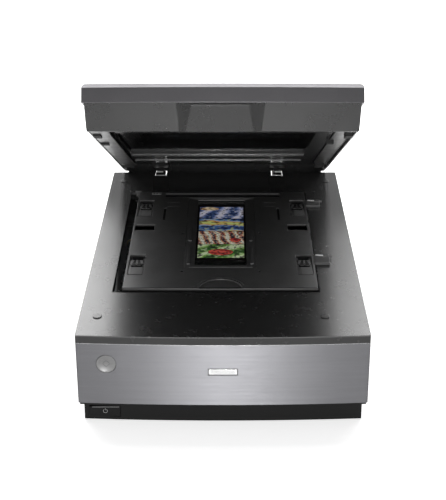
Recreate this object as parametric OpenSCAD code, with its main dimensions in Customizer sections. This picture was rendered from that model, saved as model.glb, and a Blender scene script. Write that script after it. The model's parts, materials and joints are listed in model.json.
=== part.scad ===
// Flatbed film and document scanner, lid open, with a film holder on its glass.
// Origin: middle of the model's box at floor level; +Y to the rear, +X to the right, +Z up.
// In the base and the holder, y is the distance behind the deck's front corners.
// In the lid, u is the distance in front of the hinge pins and v the height above them.

/* [Case] */
// Width of the case
body_w = 308; // [300:1:316]
// Depth of the deck, front corners to rear edge
deck_d = 482; // [478:1:490]
// Height of the deck above the floor
deck_z = 105; // [104:0.5:106]
// How far the middle of the front stands out
front_bow = 4.9; // [3:0.1:7]
// Thickness of the moulded walls
wall = 2.5; // [2:0.1:3]
// Height of the front panel's bottom edge
panel_z0 = 24; // [22:0.5:26]
// Height of the dark strip between the front panel and the deck
strip_h = 9.5; // [8:0.5:12]
// How far the black base stands in from the case
base_inset = 5.5; // [4:0.5:7]

/* [Platen] */
// Width of the deck opening over the glass
platen_w = 231.5; // [228:0.5:234]
// Length of the deck opening over the glass
platen_l = 304; // [302:1:308]
// Depth of the glass below the deck
recess_h = 4.5; // [4.4:0.1:5]
// Thickness of the glass
glass_t = 2.5; // [2:0.1:3]

/* [Lid] */
// Angle that the lid is open at rest
lid_angle = 25.5; // [10:0.1:45]
// Length of the lid, hinge pins to front corners
lid_l = 450; // [445:1:455]
// Width of the lid at its bottom edge
lid_w = 282; // [278:1:286]
// Width of the lid where the skirt meets the cap
skirt_top_w = 288; // [286:1:290]
// Width of the cap
cap_w = 293.5; // [292:0.5:300]
// Height of the skirt
skirt_h = 29.8; // [29:0.1:33]
// Height of the cap
cap_h = 20.7; // [19:0.1:22]
// Bevel along the cap's top edge
cap_bevel = 5; // [2:0.5:6]

/* [Film holder] */
// Width of the film holder
holder_w = 218.5; // [217:0.5:221]
// Length of the film holder
holder_l = 292; // [290:1:293]
// Height of the holder's top above the deck
holder_rise = 2.5; // [2:0.1:3]
// Width of the film window
window_w = 61; // [58:1:62]
// Length of the film window
window_l = 203; // [195:1:205]

/* [Drive] */
// Diameter of the carriage's guide rod
rod_d = 8; // [6:1:8]
// Clearance round a shaft that runs in a bush
run_gap = 0.05; // [0.02:0.01:0.08]
// Clearance between parts that move past each other
gap = 0.4; // [0.35:0.05:0.5]
// Teeth of the motor pinion
pinion_teeth = 12; // [12:1:12]
// Teeth of the reduction gear
gear_teeth = 28; // [28:1:28]

/* [Hidden] */
$fn = 64;

// Overlap that makes one solid of two that meet, and reach of a cut past a face
eps = 0.5;
far = 20;

// Bowed front: an arc through the two front corners
bow_r = (pow(body_w / 2, 2) + pow(front_bow, 2)) / (2 * front_bow);
bow_fn = 720;
scoop_x = -3;
scoop_half = 52;
scoop_steps = 12;

// Case
half_w = body_w / 2;
case_d = deck_d + 16.1;
ledge_z = deck_z - 19;
deck_t = 3.2;
corner_r = 1.5;
panel_t = 3;
panel_z1 = deck_z - strip_h;
panel_gap = 0.3;
base_z = 1.2;
floor_z = base_z + wall;
base_top = panel_z0 - 0.4;
base_half_w = half_w - base_inset;
base_d = case_d - base_inset;
deck_under = deck_z - deck_t;

// Platen
platen_x = -8;
platen_y = 101;
glass_z1 = deck_z - recess_h;
glass_z0 = glass_z1 - glass_t;
glass_lap = 6;

// Hinges: pins along X behind the deck's rear edge, two posts beside the platen's middle
hinge_y = deck_d + 3;
hinge_z = deck_z - 4;
hinge_x = [platen_x - 80.4, platen_x + 80.4];
post_w = 13;
post_front = 15;
post_back = 4.6;
post_wall = 2.5;
post_z0 = 50;
pin_r = 2;
knuckle_r = 4.3;
tongue_w = post_w - 2 * post_wall - 2 * 0.3;
socket_wall = 2.6;
socket_z = [40, ledge_z - wall];

// Lid, in u and v
lid_v0 = 5.3;
skirt_v1 = lid_v0 + skirt_h;
cap_v1 = skirt_v1 + cap_h;
lid_rear = 10;
plate_v = [lid_v0 + 6, lid_v0 + 8.5];
win_x = [-118, 101];
win_u = [162, 387];
lid_screw_x = 134;
lid_screw_u = [25, 225, 425];

// Whole model at rest: the open lid's rear top edge is the rearmost point
rest_rear = hinge_y + lid_rear * cos(lid_angle) + (cap_v1 - cap_bevel) * sin(lid_angle);
front_y = front_bow - (rest_rear + front_bow) / 2;

// Buttons
start_x = -122.3;
start_z = 72;
start_r = 10.3;
start_bore = start_r + gap;
power_x = [-143, -110];
power_z = [5, 17.5];

// Scan drive
rod_x = -126;
rod_y = [24, 474];
rod_z = 34;
rail_x = [117, 124];
rail_top = 30;
belt_x = -106;
belt_z = [37, 43];
pulley_r = 7.5;
belt_r = [pulley_r + 0.3, pulley_r + 1.5];
drive_y = 78;
idler_y = 452;
tooth_m = 1;
gear_r = gear_teeth * tooth_m / 2;
pinion_r = pinion_teeth * tooth_m / 2;
gear_dist = gear_r + pinion_r + 0.3;
motor_x = belt_x + 10;
motor_y = drive_y - sqrt(pow(gear_dist, 2) - 100);
motor_r = 17.5;
bracket_z = [28, 29.5];
gear_z = [30.5, 35.5];

// Carriage, parked at the rear
car_x = [-119, 112];
car_y = [392, 460];
car_z = [46, 96];
lamp_y = car_y[0] + 12;

// Connectors on the rear wall
board_z = 30;
board_t = 1.6;
rear_window_x = [-54, 60];
rear_window_z = [29, 52];
dc_x = 42;
usb_x = 10;
lid_socket_x = -30;

// Transport lock on the rear wall
lock_x = 118;
lock_z = 62;

// Case screws, in pairs beside the side walls
screw_x = 142;
screw_y = [30, 250, 470];
screw_r = 1.5;
boss_r = 4.5;
foot_x = 126;
foot_y = [36, 464];
bumpers = [[-134.5, 42.6], [109, 42.6], [-138, 447], [138, 447]];
small_bumpers = [[-124, 409], [119, 409]];

// Lamp unit of the lid
lid_rod_x = -121;
lid_rod_v = 24;
lid_rod_r = 3;
lid_belt_x = -108;
lid_belt_v = [30, 35];
lid_pulley_r = 5;
lid_drive_u = 425;
lid_idler_u = 84;
lamp_u = [96, 128];
lamp_v = [17.5, 28];
lamp_x = [-113, 106];

// Film holder
holder_x = -3.5;
holder_y = 108;
holder_z0 = glass_z1 + 0.3;
holder_z1 = deck_z + holder_rise;
holder_top_t = 2.6;
holder_rim = 2;
film_x = -3.5;
window_y = 169;
cover_z0 = holder_z1 - 1.5;
cover_x = [film_x - 42.5, film_x + 41.5];
cover_y = [160, 377];
cover_pin_y = 378.6;
cover_pin_z = holder_z1 - 1.25;
cover_pin_r = 0.7;
barrel_r = 1.05;
film_z = holder_z1 - 2;
adjust_w = 18.5;
adjust_l = 55;
adjust_x = [-101.2, 94];
adjust_y = [142, 316];
adjust_z = holder_z1 - 3.2;
tab_x = [holder_x + holder_w / 2, 124];
tab_y = [[173, 195], [351, 369]];

// ---- Shared shapes ----

// Box between two limits on each axis
module block(x, y, z) {
    translate([x[0], y[0], z[0]])
        cube([x[1] - x[0], y[1] - y[0], z[1] - z[0]]);
}

// Cylinder along X, Y or Z between two limits
module bar_x(x, y, z, r) {
    translate([x[0], y, z])
        rotate([0, 90, 0])
            cylinder(r = r, h = x[1] - x[0]);
}

module bar_y(x, y, z, r) {
    translate([x, y[1], z])
        rotate([90, 0, 0])
            cylinder(r = r, h = y[1] - y[0]);
}

module bar_z(x, y, z, r) {
    translate([x, y, z[0]])
        cylinder(r = r, h = z[1] - z[0]);
}

// y counts from the deck's front corners
module from_front() {
    translate([0, front_y, 0])
        children();
}

// Lid's own frame: origin on the hinge axis, u towards -Y, v towards +Z, turned open
module on_lid() {
    translate([0, front_y + hinge_y, hinge_z])
        rotate([-lid_angle, 0, 0])
            children();
}

module lid_block(x, u, v) {
    block(x, [-u[1], -u[0]], v);
}

// Plan region behind the bowed front arc, moved back by shift
module bow_plan(shift, half, rear) {
    intersection() {
        translate([-half, -far])
            square([2 * half, rear + far]);
        translate([0, shift - front_bow + bow_r])
            circle(r = bow_r, $fn = bow_fn);
    }
}

// Waste outside a rounded upright corner at [x, y], where sx and sy point outwards
module corner_waste(x, y, sx, sy, r) {
    translate([x - sx * r, y - sy * r])
        difference() {
            translate([sx > 0 ? 0 : -r - 1, sy > 0 ? 0 : -r - 1])
                square(r + 1);
            circle(r = r);
        }
}

module case_plan() {
    difference() {
        bow_plan(0, half_w, case_d);
        for (s = [-1, 1]) {
            corner_waste(s * half_w, 0, s, -1, corner_r);
            corner_waste(s * half_w, case_d, s, 1, corner_r);
        }
    }
}

// Steel coil spring: wire swept round the z axis
function coil_point(r, wire, pitch, a, b) =
    [(r + wire * cos(b)) * cos(a), (r + wire * cos(b)) * sin(a), pitch * a / 360 + wire * sin(b)];

module coil(r, wire, pitch, turns) {
    sides = 6;
    steps = 12;
    rings = turns * steps;
    points = [for (i = [0:rings]) for (j = [0:sides - 1])
              coil_point(r, wire, pitch, i * 360 / steps, j * 360 / sides)];
    skin = [for (i = [0:rings - 1]) for (j = [0:sides - 1])
            let (a = i * sides + j, b = i * sides + (j + 1) % sides)
            [a, a + sides, b + sides, b]];
    first = [[for (j = [0:sides - 1]) j]];
    last = [[for (j = [sides - 1:-1:0]) rings * sides + j]];
    polyhedron(points = points, faces = concat(first, skin, last));
}

// Spur wheel with straight-sided teeth; turn sets the first tooth's angle
module spur(teeth, h, turn) {
    r = teeth * tooth_m / 2;
    rotate([0, 0, turn])
        linear_extrude(h)
            union() {
                circle(r = r - 1.1);
                for (i = [0:teeth - 1])
                    rotate(i * 360 / teeth)
                        polygon([[r - 1.6, -0.85], [r, -0.58], [r + 0.75, -0.25],
                                 [r + 0.75, 0.25], [r, 0.58], [r - 1.6, 0.85]]);
            }
}

// Flanged belt pulley with its bore
module pulley(r, bore, z, flange_t = 0.8, flange = 2) {
    difference() {
        union() {
            bar_z(0, 0, z, r);
            bar_z(0, 0, [z[0] - flange_t, z[0]], r + flange);
            bar_z(0, 0, [z[1], z[1] + flange_t], r + flange);
        }
        bar_z(0, 0, [z[0] - far, z[1] + far], bore);
    }
}

// Closed belt round two equal pulleys, in plan
module belt_loop(x, y0, y1, inner, outer, h) {
    linear_extrude(h)
        difference() {
            belt_outline(x, y0, y1, outer);
            belt_outline(x, y0, y1, inner);
        }
}

module belt_outline(x, y0, y1, r) {
    translate([x, y0])
        circle(r = r);
    translate([x, y1])
        circle(r = r);
    translate([x - r, y0])
        square([2 * r, y1 - y0]);
}

// ---- Case ----

module base_tray() {
    color("#1c1c1e")
        from_front()
            difference() {
                union() {
                    difference() {
                        translate([0, 0, base_z])
                            linear_extrude(base_top - base_z)
                                base_plan(0);
                        translate([0, 0, floor_z])
                            linear_extrude(far * 2)
                                base_plan(wall);
                    }
                    base_flange();
                    for (s = [-1, 1], y = screw_y)
                        bar_z(s * screw_x, y, [base_z, panel_z0 + 3.5], boss_r);
                }
                for (s = [-1, 1], y = screw_y) {
                    bar_z(s * screw_x, y, [base_z - 1, panel_z0 + far], screw_r + 0.2);
                    bar_z(s * screw_x, y, [base_z - 1, base_z + 4], 3.4);
                }
                power_cutout();
                floor_vents();
            }
}

module base_plan(inset) {
    difference() {
        bow_plan(base_inset + inset, base_half_w - inset, base_d - inset);
        for (s = [-1, 1])
            corner_waste(s * (base_half_w - inset), base_d - inset, s, 1, 6 - inset);
    }
}

// Rim that carries the case, with a lip that keys inside its walls
module base_flange() {
    lip = wall + 0.3;
    translate([0, 0, base_top - wall])
        linear_extrude(wall)
            difference() {
                bow_plan(2, half_w - 1.5, case_d - 1.5);
                base_plan(wall);
            }
    translate([0, 0, base_top - eps])
        linear_extrude(4)
            difference() {
                bow_plan(panel_t + panel_gap + lip, half_w - lip, case_d - lip);
                bow_plan(panel_t + panel_gap + lip + 2, half_w - lip - 2, case_d - lip - 2);
            }
}

module power_cutout() {
    block([power_x[0] - gap, power_x[1] + gap], [0, 12], [power_z[0] - gap, power_z[1] + gap]);
}

module floor_vents() {
    vent_l = 40;
    for (i = [0:8])
        block([20, 20 + vent_l], [150 + i * 8, 153.5 + i * 8], [base_z - 1, floor_z + 1]);
}

module upper_cover() {
    color("#3a3a3d")
        from_front()
            difference() {
                union() {
                    case_shell();
                    for (s = [-1, 1], y = screw_y)
                        bar_z(s * screw_x, y, [panel_z0 + 4, y > base_d - 30 ? ledge_z - 1 : deck_z - 1],
                              boss_r);
                }
                for (s = [-1, 1], y = screw_y)
                    bar_z(s * screw_x, y, [panel_z0, panel_z0 + 20], screw_r + 0.1);
                platen_cutout();
                for (x = hinge_x)
                    hinge_cutout(x);
                bar_y(start_x, [-far, far], start_z, start_r - 3);
                block(rear_window_x, [case_d - wall - 1, case_d + 1], rear_window_z);
                block([lock_x - 14, lock_x + 14], [case_d - wall - 1, case_d + 1],
                      [lock_z - 3.4, lock_z + 3.4]);
            }
}

module case_shell() {
    difference() {
        translate([0, 0, panel_z0])
            linear_extrude(deck_z - panel_z0)
                case_plan();
        // step down behind the deck
        block([-half_w - 1, half_w + 1], [deck_d, case_d + 1], [ledge_z, deck_z + 1]);
        // seat of the front panel
        translate([0, 0, panel_z0 - 1])
            linear_extrude(panel_z1 + panel_gap - panel_z0 + 1)
                difference() {
                    translate([-half_w - 1, -far])
                        square([body_w + 2, 2 * far]);
                    bow_plan(panel_t + panel_gap, half_w + 2, 3 * far);
                }
        // inside
        translate([0, 0, panel_z0 - 1])
            linear_extrude(deck_under - panel_z0 + 1)
                bow_plan(panel_t + panel_gap + wall, half_w - wall, deck_d - wall);
        translate([0, 0, panel_z0 - 1])
            linear_extrude(ledge_z - wall - panel_z0 + 1)
                bow_plan(panel_t + panel_gap + wall, half_w - wall, case_d - wall);
    }
}

module platen_cutout() {
    block([platen_x - platen_w / 2, platen_x + platen_w / 2], [platen_y, platen_y + platen_l],
          [deck_under - 1, deck_z + 1]);
}

// Notch in the deck's rear edge and the ledge, round one hinge post
module hinge_cutout(x) {
    side = post_w / 2 + 1.2;
    block([x - side, x + side], [hinge_y - post_front - 1.2, deck_d + 1], [ledge_z - 1, deck_z + 1]);
    block([x - side, x + side], [hinge_y - post_front - 1.2, hinge_y + post_back + 1.2],
          [ledge_z - wall - 1, ledge_z + 1]);
}

module front_panel() {
    color("#b9babd")
        from_front()
            difference() {
                translate([0, 0, panel_z0])
                    linear_extrude(panel_z1 - panel_z0)
                        difference() {
                            case_plan();
                            bow_plan(panel_t, half_w + 2, case_d + 1);
                        }
                bar_y(start_x, [-far, far], start_z, start_bore);
                badge_recess();
            }
}

// Shallow recess for a plain badge in the middle of the front panel
module badge_recess() {
    badge_w = 32;
    badge_h = 8.4;
    depth = 0.7;
    badge_z = 64;
    intersection() {
        block([-badge_w / 2, badge_w / 2], [-far, far], [badge_z - badge_h / 2, badge_z + badge_h / 2]);
        translate([0, 0, badge_z - badge_h])
            linear_extrude(2 * badge_h)
                difference() {
                    bow_plan(-2, half_w, far);
                    bow_plan(depth, half_w + 1, far + 1);
                }
    }
}

module platen_glass() {
    color("#5c6a70", 0.5)
        from_front()
            block([platen_x - platen_w / 2 - glass_lap, platen_x + platen_w / 2 + glass_lap],
                  [platen_y - glass_lap, platen_y + platen_l + glass_lap], [glass_z0, glass_z1]);
}

module glass_gasket() {
    color("#141414")
        from_front()
            difference() {
                block([platen_x - platen_w / 2 - glass_lap, platen_x + platen_w / 2 + glass_lap],
                      [platen_y - glass_lap, platen_y + platen_l + glass_lap], [glass_z1, deck_under]);
                platen_cutout_deep();
            }
}

module platen_cutout_deep() {
    block([platen_x - platen_w / 2, platen_x + platen_w / 2], [platen_y, platen_y + platen_l],
          [glass_z1 - 1, deck_z + 1]);
}

module calibration_strip() {
    strip_w = 220;
    color("white")
        from_front()
            block([platen_x - strip_w / 2, platen_x + strip_w / 2],
                  [platen_y + platen_l, platen_y + platen_l + 5], [glass_z0 - 0.6, glass_z0]);
}

module rubber_feet() {
    color("#101010")
        from_front()
            for (s = [-1, 1], y = foot_y)
                bar_z(s * foot_x, y, [0, base_z], 9);
}

module base_screws() {
    color("#8c8c90")
        from_front()
            for (s = [-1, 1], y = screw_y)
                difference() {
                    union() {
                        bar_z(s * screw_x, y, [base_z + 4, panel_z0 + 18], screw_r);
                        bar_z(s * screw_x, y, [base_z + 1.8, base_z + 4], 3);
                    }
                    block([s * screw_x - 0.5, s * screw_x + 0.5], [y - 2, y + 2],
                          [base_z, base_z + 2.8]);
                    block([s * screw_x - 2, s * screw_x + 2], [y - 0.5, y + 0.5],
                          [base_z, base_z + 2.8]);
                }
}

module deck_bumpers() {
    color("#a9a9ad")
        from_front() {
            for (p = bumpers)
                bar_z(p[0], p[1], [deck_z, deck_z + 0.9], 4.8);
            for (p = small_bumpers)
                bar_z(p[0], p[1], [deck_z, deck_z + 0.9], 2.2);
        }
}

// ---- Electronics and connectors ----

module rear_plate() {
    color("#9a9b9e")
        from_front()
            difference() {
                block([rear_window_x[0] - 5, rear_window_x[1] + 5],
                      [case_d - wall - 1.2, case_d - wall - 0.2],
                      [rear_window_z[0] - 1.4, rear_window_z[1] + 5]);
                bar_y(dc_x, [case_d - far, case_d + far], board_z + board_t + 6, 6.1);
                block([usb_x - 6.4, usb_x + 6.4], [case_d - far, case_d + far],
                      [board_z + board_t, board_z + board_t + 12.2]);
                block([lid_socket_x - 16.4, lid_socket_x + 16.4], [case_d - far, case_d + far],
                      [board_z + board_t, board_z + board_t + 9.4]);
            }
}

// Main board on its pillars, and a switch board behind each of the two buttons
module circuit_boards() {
    top = board_z + board_t;
    color("#1f5a34")
        from_front() {
            union() {
                block([-60, 108], [330, case_d - 6], [board_z, top]);
                block([-10, 14], [400, 424], [top - eps, top + 2.2]);
                block([40, 52], [405, 424], [top - eps, top + 1.6]);
                block([62, 96], [350, 358], [top - eps, top + 8]);
                for (i = [0:3])
                    bar_z(30 + i * 13, 378, [top - eps, top + 9], 4);
                for (x = [-55, 103], y = [335, 487])
                    bar_z(x, y, [floor_z, board_z + eps], 3);
            }
            start_switch();
            power_switch();
        }
}

module start_switch() {
    board_y = 14.6;
    block([start_x - 14, start_x + 14], [board_y, board_y + board_t], [start_z - 12, start_z + 12]);
    block([start_x - 3, start_x + 3], [board_y - 2.8, board_y + eps], [start_z - 3, start_z + 3]);
}

module power_switch() {
    board_y = 18.6;
    block([-141, -112], [board_y, board_y + board_t], [5.5, 21]);
    block([-129.5, -123.5], [board_y - 2.8, board_y + eps], [8, 14]);
}

module dc_inlet() {
    z = board_z + board_t + 6;
    y1 = case_d - 0.4;
    color("#151515")
        from_front()
            union() {
                difference() {
                    union() {
                        bar_y(dc_x, [y1 - 10, y1], z, 5.6);
                        block([dc_x - 5.6, dc_x + 5.6], [y1 - 16, y1 - 7], [z - 6, z + 5.6]);
                    }
                    bar_y(dc_x, [y1 - 9, y1 + 1], z, 3.2);
                }
                bar_y(dc_x, [y1 - 10, y1 - 2], z, 0.9);
            }
}

module usb_socket() {
    z0 = board_z + board_t;
    y1 = case_d - 0.4;
    color("#b4b5b8")
        from_front()
            union() {
                difference() {
                    block([usb_x - 6, usb_x + 6], [y1 - 16, y1], [z0, z0 + 11.6]);
                    block([usb_x - 4.3, usb_x + 4.3], [y1 - 11, y1 + 1], [z0 + 1.8, z0 + 9.8]);
                }
                block([usb_x - 2.8, usb_x + 2.8], [y1 - 12, y1 - 5], [z0 + 4.4, z0 + 7.4]);
            }
}

// Socket for the cable of the lid's lamp unit
module lid_cable_socket() {
    z0 = board_z + board_t;
    y1 = case_d - 0.4;
    color("#2a2a2c")
        from_front()
            union() {
                difference() {
                    block([lid_socket_x - 16, lid_socket_x + 16], [y1 - 14, y1], [z0, z0 + 9]);
                    block([lid_socket_x - 13, lid_socket_x + 13], [y1 - 10, y1 + 1],
                          [z0 + 1.8, z0 + 7.2]);
                }
                block([lid_socket_x - 11, lid_socket_x + 11], [y1 - 11, y1 - 5],
                      [z0 + 3.9, z0 + 5.1]);
            }
}

// ---- Scan drive ----

module guide_rod() {
    color("#c8c9cc")
        from_front()
            bar_y(rod_x, rod_y, rod_z, rod_d / 2);
}

module rod_clamps() {
    clamp_l = 9;
    color("#2a2a2c")
        from_front()
            for (y = [rod_y[0] + 1, rod_y[1] - clamp_l - 1])
                difference() {
                    block([rod_x - 8, rod_x + 8], [y, y + clamp_l], [floor_z, rod_z + 7]);
                    bar_y(rod_x, [y - 1, y + clamp_l + 1], rod_z, rod_d / 2 + run_gap);
                }
}

module support_rail() {
    color("#9a9b9e")
        from_front()
            union() {
                block([rail_x[0], rail_x[1] + 6], [rod_y[0], rod_y[1]], [floor_z, floor_z + 1.6]);
                block([rail_x[0] + 2, rail_x[0] + 3.6], [rod_y[0], rod_y[1]],
                      [floor_z, rail_top]);
                block([rail_x[0], rail_x[1]], [rod_y[0], rod_y[1]], [rail_top - 1.6, rail_top]);
            }
}

module drive_motor() {
    color("#87888b")
        from_front()
            union() {
                bar_z(motor_x, motor_y, [floor_z + 2, bracket_z[0]], motor_r);
                bar_z(motor_x, motor_y, [bracket_z[0] - eps, bracket_z[1] + 0.3], 5);
                bar_z(motor_x, motor_y, [bracket_z[0] - eps, gear_z[1] + 1.5], 1.5);
                block([motor_x + motor_r - 2, motor_x + motor_r + 6], [motor_y - 8, motor_y + 8],
                      [floor_z + 4, floor_z + 14]);
            }
}

// Plate over the motor that carries the gear's axle
module motor_bracket() {
    x0 = belt_x - 14;
    x1 = motor_x + 24;
    y0 = motor_y - 20;
    y1 = drive_y + 10;
    color("#9a9b9e")
        from_front()
            difference() {
                union() {
                    block([x0, x1], [y0, y1], bracket_z);
                    for (y = [y0, y1 - 6])
                        block([x1 - 3, x1], [y, y + 6], [floor_z, bracket_z[1]]);
                    block([x0, x0 + 6], [y1 - 3, y1], [floor_z, bracket_z[1]]);
                    bar_z(belt_x, drive_y, [bracket_z[0], belt_z[1] + 1.8], 2);
                }
                bar_z(motor_x, motor_y, [bracket_z[0] - 1, bracket_z[1] + 0.01], 5 + run_gap);
            }
}

module motor_pinion() {
    color("#d9c06a")
        from_front()
            translate([motor_x, motor_y, gear_z[0]])
                difference() {
                    spur(pinion_teeth, gear_z[1] - gear_z[0], mesh_angle() + 180 / pinion_teeth);
                    bar_z(0, 0, [-1, far], 1.5 + run_gap);
                }
}

// Direction from the pinion to the gear
function mesh_angle() = atan2(drive_y - motor_y, belt_x - motor_x);

// Reduction gear moulded in one piece with the belt pulley
module drive_pulley() {
    color("#e6e3da")
        from_front()
            translate([belt_x, drive_y, 0])
                difference() {
                    union() {
                        translate([0, 0, gear_z[0]])
                            spur(gear_teeth, gear_z[1] - gear_z[0], mesh_angle() + 180);
                        pulley(pulley_r, 1, [belt_z[0] - 0.2, belt_z[1] + 0.2]);
                    }
                    bar_z(0, 0, [bracket_z[0], belt_z[1] + far], 2 + run_gap);
                }
}

module idler_pulley() {
    color("#e6e3da")
        from_front()
            translate([belt_x, idler_y, 0])
                pulley(pulley_r, 2 + run_gap, [belt_z[0] - 0.2, belt_z[1] + 0.2]);
}

module idler_bracket() {
    color("#9a9b9e")
        from_front()
            union() {
                block([belt_x - 7, belt_x + 7], [idler_y - 7, idler_y + 9], [floor_z, belt_z[0] - 1.6]);
                bar_z(belt_x, idler_y, [belt_z[0] - 2, belt_z[1] + 1.8], 2);
                block([belt_x - 5, belt_x + 5], [idler_y + 30, idler_y + 33], [floor_z, 30]);
            }
}

// Spring that pulls the idler back and keeps the belt tight
module tension_spring() {
    turns = 8;
    color("#b4b5b8")
        from_front()
            translate([belt_x, idler_y + 29.6, 22])
                rotate([90, 0, 0])
                    coil(3, 0.5, 2.45, turns);
}

module drive_belt() {
    color("#18181a")
        from_front()
            translate([0, 0, belt_z[0]])
                belt_loop(belt_x, drive_y, idler_y, belt_r[0], belt_r[1], belt_z[1] - belt_z[0]);
}

// ---- Carriage ----

module carriage_frame() {
    floor_t = 2.5;
    run_x = belt_x + belt_r[0];
    color("#2a2a2c")
        from_front()
            union() {
                difference() {
                    block(car_x, car_y, car_z);
                    block([car_x[0] + 2.5, car_x[1] - 2.5], [car_y[0] + 2.5, car_y[1] - 2.5],
                          [car_z[0] + floor_t, car_z[1] + 1]);
                }
                // slotted top
                difference() {
                    block(car_x, car_y, [car_z[1] - 2, car_z[1]]);
                    block([-116, 102], [lamp_y - 6, lamp_y + 14], [car_z[1] - 3, car_z[1] + 1]);
                }
                // lugs that hold the bushes on the rod
                for (y = [car_y[0] + 2, car_y[1] - 16])
                    difference() {
                        block([rod_x - 7.4, car_x[0] + 3], [y, y + 14], [rod_z - 6.4, car_z[0] + 12]);
                        bar_y(rod_x, [y - 1, y + 15], rod_z, rod_d / 2 + 2);
                    }
                // shoe on the rail
                block([rail_x[0] - 6, rail_x[1]], [car_y[0] + 20, car_y[0] + 40],
                      [rail_top + gap, rail_top + 3]);
                block([rail_x[0] - 8, rail_x[0] - 5.5], [car_y[0] + 20, car_y[0] + 40],
                      [rail_top + gap, car_z[0] + 1]);
                // belt clamp, one jaw on each side of the belt's right run
                for (x = [run_x - 2.6, belt_x + belt_r[1] + gap])
                    block([x, x + 2.2], [car_y[0] + 10, car_y[0] + 24],
                          [belt_z[0], car_z[0] + 1]);
            }
}

module carriage_bushes() {
    color("#b98a4a")
        from_front()
            for (y = [car_y[0] + 2, car_y[1] - 16])
                difference() {
                    bar_y(rod_x, [y, y + 14], rod_z, rod_d / 2 + 1.95);
                    bar_y(rod_x, [y - 1, y + 15], rod_z, rod_d / 2 + run_gap);
                }
}

module carriage_lamp() {
    color("#f4f2e6")
        from_front()
            union() {
                block([-114, 100], [lamp_y - 5, lamp_y - 1], [car_z[1] - 8, car_z[1] - 1.2]);
                block([-114, 100], [lamp_y - 5, lamp_y - 3.6], [car_z[1] - 14, car_z[1] - 7]);
            }
}

// Folding mirrors, each a tilted strip
module carriage_mirrors() {
    mirror_l = 200;
    spots = [[lamp_y + 8, 60, 45], [car_y[0] + 8, 61, -35], [car_y[1] - 9, 72, 30], [car_y[0] + 9, 74, -20]];
    color("#dfe6ea")
        from_front()
            for (p = spots)
                translate([platen_x, p[0], p[1]])
                    rotate([p[2], 0, 0])
                        translate([-mirror_l / 2, -1, -5])
                            cube([mirror_l, 2, 10]);
}

// Two switchable lens barrels
module scan_lenses() {
    color("#1a1a1c")
        from_front()
            for (x = [platen_x - 14, platen_x + 14])
                difference() {
                    union() {
                        bar_y(x, [car_y[0] + 26, car_y[0] + 46], 60, 10);
                        bar_y(x, [car_y[0] + 30, car_y[0] + 36], 60, 11);
                    }
                    bar_y(x, [car_y[0] + 25, car_y[0] + 47], 60, 7);
                }
}

module sensor_board() {
    top = car_z[0] + 12;
    color("#1f5a34")
        from_front()
            union() {
                block([platen_x - 34, platen_x + 34], [car_y[1] - 10.6, car_y[1] - 9], [50, 67]);
                block([platen_x - 28, platen_x + 28], [car_y[1] - 12.6, car_y[1] - 10], [top - 3, top + 3]);
            }
}

// ---- Buttons, lock and hinge posts ----

// Round start button with a dished face
module start_button() {
    face_y = -front_bow * (1 - pow(start_x / half_w, 2)) - 0.3;
    dish_r = 42;
    color("#8f9093")
        from_front()
            difference() {
                union() {
                    bar_y(start_x, [face_y, face_y + 2], start_z, start_r);
                    bar_y(start_x, [face_y + 1, 10.4], start_z, start_r - 4);
                }
                translate([start_x, face_y - dish_r + 1.1, start_z])
                    sphere(r = dish_r, $fn = 96);
            }
}

module power_button() {
    face_y = base_inset - front_bow * (1 - pow(126 / half_w, 2)) - 0.8;
    color("#242426")
        from_front()
            union() {
                block(power_x, [face_y, face_y + 3], power_z);
                block([-130, -123], [face_y + 2, 14.4], [8, 14]);
            }
}

module transport_lock() {
    color("#4a4a4e")
        from_front()
            union() {
                block([lock_x - 9, lock_x - 1], [case_d - 2, case_d + 1.4], [lock_z - 3, lock_z + 3]);
                block([lock_x - 14, lock_x + 6], [case_d - wall - 2.4, case_d - wall - 0.4],
                      [lock_z - 6, lock_z + 6]);
                block([lock_x - 9, lock_x - 1], [case_d - wall - 1, case_d], [lock_z - 3, lock_z + 3]);
            }
}

// Sleeves in the case that the posts slide in
module hinge_sockets() {
    side = post_w / 2 + 0.3;
    color("#1c1c1e")
        from_front()
            for (x = hinge_x)
                difference() {
                    block([x - side - socket_wall, x + side + socket_wall],
                          [hinge_y - post_front - 0.3 - socket_wall, hinge_y + post_back + 0.3 + socket_wall],
                          [socket_z[0], socket_z[1] - 0.2]);
                    block([x - side, x + side],
                          [hinge_y - post_front - 0.3, hinge_y + post_back + 0.3],
                          [post_z0 - 0.3, socket_z[1] + 1]);
                }
}

// Chromed channel posts, open at the rear, with the pin bores and a rounded crown at the top
module hinge_posts() {
    inner = post_w / 2 - post_wall;
    crown = [hinge_y - post_front, hinge_y - knuckle_r - 0.5];
    crown_r = 1;
    crown_z = hinge_z + post_back - crown_r;
    color("#d5d6d8")
        from_front()
            for (x = hinge_x)
                difference() {
                    union() {
                        difference() {
                            union() {
                                block([x - post_w / 2, x + post_w / 2],
                                      [hinge_y - post_front, hinge_y + post_back], [post_z0, hinge_z]);
                                block([x - post_w / 2, x + post_w / 2],
                                      [hinge_y - post_front, hinge_y], [hinge_z - 1, crown_z]);
                                bar_x([x - post_w / 2, x + post_w / 2], hinge_y, hinge_z, post_back);
                            }
                            block([x - inner, x + inner],
                                  [hinge_y - post_front + 2, hinge_y + post_back + 1],
                                  [post_z0 + 10, hinge_z + far]);
                        }
                        block([x - post_w / 2, x + post_w / 2], crown, [crown_z - 1.5, crown_z]);
                        block([x - post_w / 2, x + post_w / 2], [crown[0] + crown_r, crown[1] - crown_r],
                              [crown_z - 1, crown_z + crown_r]);
                        for (y = [crown[0] + crown_r, crown[1] - crown_r])
                            bar_x([x - post_w / 2, x + post_w / 2], y, crown_z, crown_r);
                    }
                    bar_x([x - post_w, x + post_w], hinge_y, hinge_z, pin_r + 0.02);
                }
}

module hinge_pins() {
    color("#b4b5b8")
        from_front()
            for (x = hinge_x)
                bar_x([x - post_w / 2, x + post_w / 2], hinge_y, hinge_z, pin_r);
}

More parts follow.
